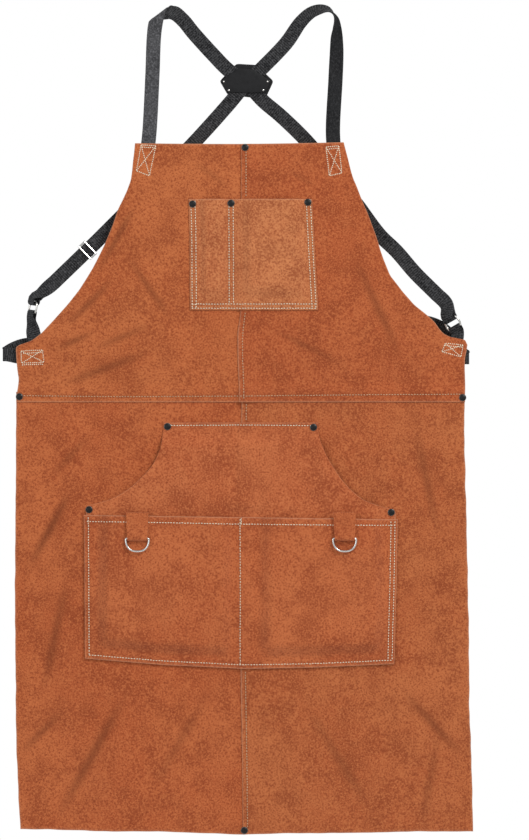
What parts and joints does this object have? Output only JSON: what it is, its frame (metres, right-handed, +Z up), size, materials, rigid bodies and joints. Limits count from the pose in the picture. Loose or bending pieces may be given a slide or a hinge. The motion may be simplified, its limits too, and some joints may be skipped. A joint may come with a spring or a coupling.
{
  "type": "welding apron",
  "caption": "Brown suede welding apron, split into four panels, with chest, hand and tool pockets, cross-back webbing straps, tool rings and a buckled waist belt.",
  "frame": {"origin": "the hanging point midway between the tops of the two shoulder loops", "axes": "+Z up, +X to the right seen from the front, the front faces -Y"},
  "size_m": [0.6194, 0.0597, 1.1038],
  "materials": {
    "suede": "napped split cowhide",
    "patch_leather": "smooth black",
    "webbing": "woven webbing",
    "nickel": "nickel plated wire and castings",
    "black_rivets": "blackened domed caps",
    "buckle_plastic": "moulded, satin"
  },
  "bodies": {
    "apron": {"bib_panel_left": "suede", "bib_panel_right": "suede", "buckle_socket": "buckle_plastic", "chest_pocket": "suede", "cross_patch_base": "patch_leather", "cross_patch_cover": "patch_leather", "hand_pocket": "suede", "patch_rivet_1": "nickel", "patch_rivet_2": "nickel", "patch_rivet_3": "nickel", "patch_rivet_4": "nickel", "ring_tab_left": "suede", "ring_tab_right": "suede", "rivet_back_bib_top": "black_rivets", "rivet_back_chest_left": "black_rivets", "rivet_back_chest_middle": "black_rivets", "rivet_back_chest_right": "black_rivets", "rivet_back_entry_left": "black_rivets", "rivet_back_entry_right": "black_rivets", "rivet_back_hand_left": "black_rivets", "rivet_back_hand_right": "black_rivets", "rivet_back_hem": "black_rivets", "rivet_back_waist_left": "black_rivets", "rivet_back_waist_right": "black_rivets", "rivet_bib_top": "black_rivets", "rivet_chest_left": "black_rivets", "rivet_chest_middle": "black_rivets", "rivet_chest_right": "black_rivets", "rivet_entry_left": "black_rivets", "rivet_entry_right": "black_rivets", "rivet_hand_left": "black_rivets", "rivet_hand_right": "black_rivets", "rivet_hem": "black_rivets", "rivet_waist_left": "black_rivets", "rivet_waist_right": "black_rivets", "shoulder_strap_left": "webbing", "shoulder_strap_right": "webbing", "skirt_panel_left": "suede", "skirt_panel_right": "suede", "tool_pocket": "suede", "waist_belt_left": "webbing", "waist_belt_right": "webbing", "waist_tab_left": "webbing", "waist_tab_right": "webbing"},
    "ring_left": {"tool_ring_left": "nickel"},
    "ring_right": {"tool_ring_right": "nickel"},
    "waist_ring_l": {"waist_ring_left": "nickel"},
    "waist_ring_r": {"waist_ring_right": "nickel"},
    "slider_l": {"slider_left": "nickel"},
    "slider_r": {"slider_right": "nickel"},
    "buckle_plug_half": {"buckle_plug": "buckle_plastic"},
    "latch_upper": {"buckle_latch_upper": "buckle_plastic"},
    "latch_lower": {"buckle_latch_lower": "buckle_plastic"}
  },
  "joints": [
    {"name": "tool_ring_left_swing", "type": "hinge", "parent": "apron", "child": "ring_left", "pos_m": [-0.137, -0.0186, -0.7025], "axis": [-1, 0, 0], "range_deg": [-5, 120]},
    {"name": "tool_ring_right_swing", "type": "hinge", "parent": "apron", "child": "ring_right", "pos_m": [0.137, -0.0186, -0.7025], "axis": [-1, 0, 0], "range_deg": [-5, 120]},
    {"name": "waist_ring_left_rock", "type": "hinge", "parent": "apron", "child": "waist_ring_l", "pos_m": [-0.27723, 0.011, -0.40282], "axis": [0.4328, -0.8988, -0.0699], "range_deg": [-7, 7]},
    {"name": "waist_ring_right_rock", "type": "hinge", "parent": "apron", "child": "waist_ring_r", "pos_m": [0.28398, 0.011, -0.42314], "axis": [-0.6642, 0.6428, -0.3817], "range_deg": [-7, 7]},
    {"name": "slider_left_adjust", "type": "slide", "parent": "apron", "child": "slider_l", "axis": [-0.7197, 0, -0.6943], "range_m": [-0.01, 0.048]},
    {"name": "slider_right_adjust", "type": "slide", "parent": "apron", "child": "slider_r", "axis": [0.6071, 0, -0.7946], "range_m": [-0.01, 0.015]},
    {"name": "buckle_release", "type": "slide", "parent": "apron", "child": "buckle_plug_half", "axis": [1, 0, 0], "range_m": [0, 0.022], "deforming": ["waist_belt_right", "buckle_latch_upper", "buckle_latch_lower"]},
    {"name": "latch_upper_squeeze", "type": "hinge", "parent": "buckle_plug_half", "child": "latch_upper", "pos_m": [0.0026, 0.012, -0.4338], "axis": [0, -1, 0], "range_deg": [0, 12], "stiffness_Nm_per_rad": 0.02, "deforming": ["buckle_latch_upper"]},
    {"name": "latch_lower_squeeze", "type": "hinge", "parent": "buckle_plug_half", "child": "latch_lower", "pos_m": [0.0026, 0.012, -0.4462], "axis": [0, -1, 0], "range_deg": [-12, 0], "stiffness_Nm_per_rad": 0.02, "deforming": ["buckle_latch_lower"]}
  ],
  "couplings": [
    {"joint": "latch_lower_squeeze", "follows": "latch_upper_squeeze", "ratio": -1}
  ]
}
